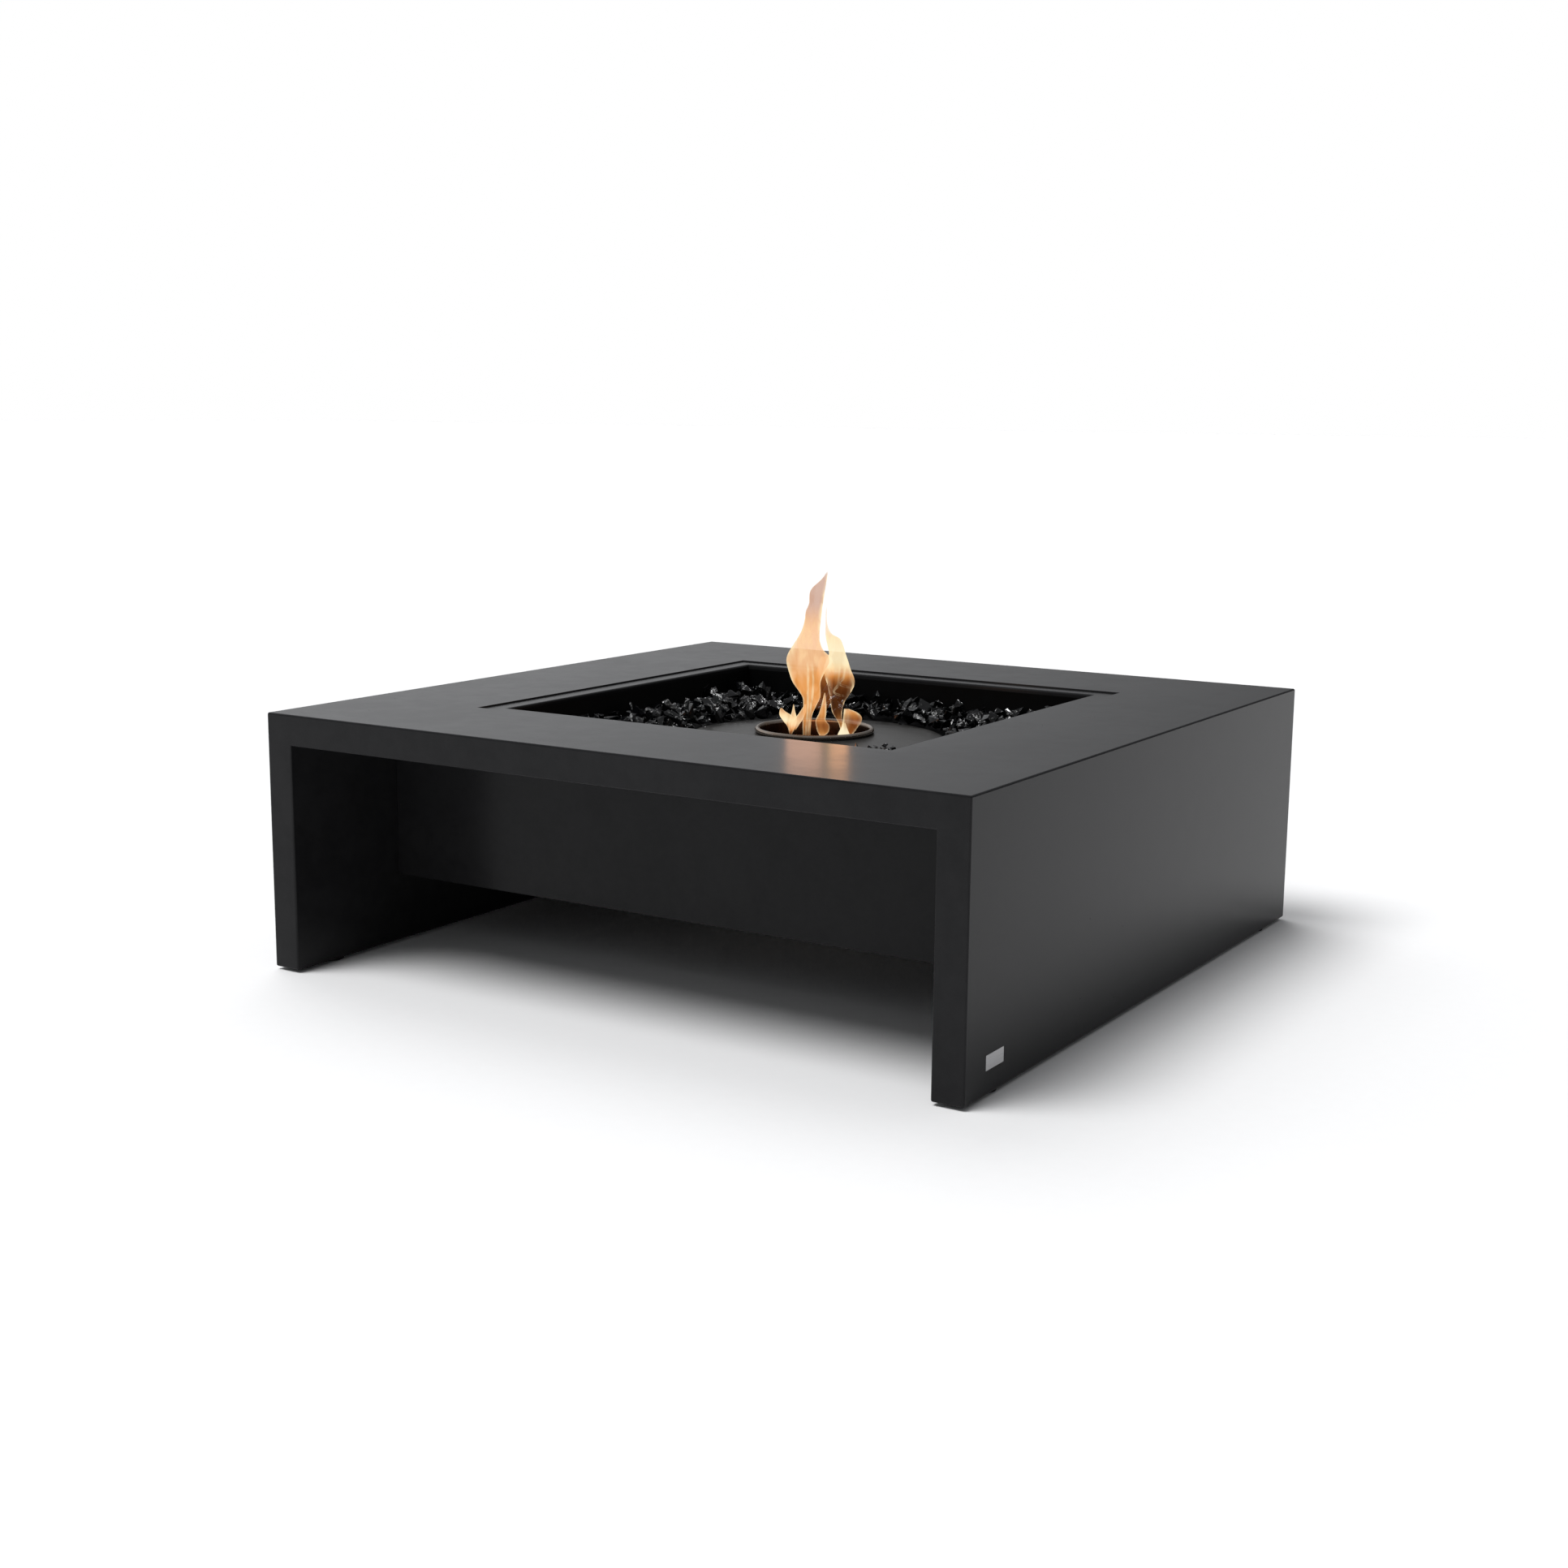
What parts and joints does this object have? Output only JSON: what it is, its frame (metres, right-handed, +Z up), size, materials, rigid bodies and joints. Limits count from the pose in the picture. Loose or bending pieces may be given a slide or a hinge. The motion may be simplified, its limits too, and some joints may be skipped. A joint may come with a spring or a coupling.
{
  "type": "fire table",
  "caption": "Low square concrete fire table with open front and rear, a recessed firebox, black glass bed and a round ethanol burner with a lift-out ring",
  "frame": {"origin": "on the floor under the centre of the table", "axes": "+Z up, -Y towards the open front, +X to the right of someone facing the front, the side with the badge"},
  "size_m": [1, 1, 0.336],
  "materials": {
    "concrete": "satin sealed fine concrete, graphite",
    "black_steel": "black powder coat",
    "burner_black": "satin dark grey heat-proof coating",
    "stainless": "brushed stainless steel",
    "zinc_steel": "zinc plated",
    "badge_steel": "brushed, blank",
    "black_glass": "glossy black crushed glass",
    "pad_rubber": "matt"
  },
  "bodies": {
    "table": {"table_body": "concrete", "front_apron": "concrete", "rear_apron": "concrete", "badge": "badge_steel", "tray_rail_front": "black_steel", "tray_rail_rear": "black_steel", "bracket_front_left": "black_steel", "leg_front_left_screw": "zinc_steel", "leg_front_left_socket": "zinc_steel", "apron_front_left_screw": "zinc_steel", "apron_front_left_socket": "zinc_steel", "rail_front_left_screw": "zinc_steel", "rail_front_left_socket": "zinc_steel", "foot_socket_front_left": "zinc_steel", "bracket_front_right": "black_steel", "leg_front_right_screw": "zinc_steel", "leg_front_right_socket": "zinc_steel", "apron_front_right_screw": "zinc_steel", "apron_front_right_socket": "zinc_steel", "rail_front_right_screw": "zinc_steel", "rail_front_right_socket": "zinc_steel", "foot_socket_front_right": "zinc_steel", "bracket_rear_left": "black_steel", "leg_rear_left_screw": "zinc_steel", "leg_rear_left_socket": "zinc_steel", "apron_rear_left_screw": "zinc_steel", "apron_rear_left_socket": "zinc_steel", "rail_rear_left_screw": "zinc_steel", "rail_rear_left_socket": "zinc_steel", "foot_socket_rear_left": "zinc_steel", "bracket_rear_right": "black_steel", "leg_rear_right_screw": "zinc_steel", "leg_rear_right_socket": "zinc_steel", "apron_rear_right_screw": "zinc_steel", "apron_rear_right_socket": "zinc_steel", "rail_rear_right_screw": "zinc_steel", "rail_rear_right_socket": "zinc_steel", "foot_socket_rear_right": "zinc_steel"},
    "tray": {"burner_tray": "black_steel", "glass_bed": "black_glass"},
    "burner": {"burner_plate": "burner_black", "burner_can": "stainless", "fuel_tank": "stainless", "mouth_collar": "stainless", "fuel_baffle": "stainless", "tank_spacer_1": "stainless", "tank_spacer_2": "stainless", "tank_spacer_3": "stainless"},
    "ring": {"efficiency_ring": "stainless"},
    "foot_front_left": {"foot_pad_front_left": "pad_rubber"},
    "stem_front_left": {"foot_stem_front_left": "zinc_steel"},
    "foot_front_right": {"foot_pad_front_right": "pad_rubber"},
    "stem_front_right": {"foot_stem_front_right": "zinc_steel"},
    "foot_rear_left": {"foot_pad_rear_left": "pad_rubber"},
    "stem_rear_left": {"foot_stem_rear_left": "zinc_steel"},
    "foot_rear_right": {"foot_pad_rear_right": "pad_rubber"},
    "stem_rear_right": {"foot_stem_rear_right": "zinc_steel"}
  },
  "joints": [
    {"name": "tray_lift", "type": "slide", "parent": "table", "child": "tray", "axis": [0, 0, 1], "range_m": [0, 0.3]},
    {"name": "burner_lift", "type": "slide", "parent": "tray", "child": "burner", "axis": [0, 0, 1], "range_m": [0, 0.25]},
    {"name": "ring_lift", "type": "slide", "parent": "burner", "child": "ring", "axis": [0, 0, 1], "range_m": [0, 0.1]},
    {"name": "foot_front_left_travel", "type": "slide", "parent": "table", "child": "foot_front_left", "axis": [0, 0, -1], "range_m": [0, 0.01]},
    {"name": "foot_front_left_turn", "type": "hinge", "parent": "foot_front_left", "child": "stem_front_left", "pos_m": [-0.48, -0.42, 0], "axis": [0, 0, -1], "range_deg": [0, 2880]},
    {"name": "foot_front_right_travel", "type": "slide", "parent": "table", "child": "foot_front_right", "axis": [0, 0, -1], "range_m": [0, 0.01]},
    {"name": "foot_front_right_turn", "type": "hinge", "parent": "foot_front_right", "child": "stem_front_right", "pos_m": [0.48, -0.42, 0], "axis": [0, 0, -1], "range_deg": [0, 2880]},
    {"name": "foot_rear_left_travel", "type": "slide", "parent": "table", "child": "foot_rear_left", "axis": [0, 0, -1], "range_m": [0, 0.01]},
    {"name": "foot_rear_left_turn", "type": "hinge", "parent": "foot_rear_left", "child": "stem_rear_left", "pos_m": [-0.48, 0.42, 0], "axis": [0, 0, -1], "range_deg": [0, 2880]},
    {"name": "foot_rear_right_travel", "type": "slide", "parent": "table", "child": "foot_rear_right", "axis": [0, 0, -1], "range_m": [0, 0.01]},
    {"name": "foot_rear_right_turn", "type": "hinge", "parent": "foot_rear_right", "child": "stem_rear_right", "pos_m": [0.48, 0.42, 0], "axis": [0, 0, -1], "range_deg": [0, 2880]}
  ],
  "couplings": [
    {"joint": "foot_front_left_turn", "follows": "foot_front_left_travel", "rad_per_m": 5026.5},
    {"joint": "foot_front_right_turn", "follows": "foot_front_right_travel", "rad_per_m": 5026.5},
    {"joint": "foot_rear_left_turn", "follows": "foot_rear_left_travel", "rad_per_m": 5026.5},
    {"joint": "foot_rear_right_turn", "follows": "foot_rear_right_travel", "rad_per_m": 5026.5}
  ]
}
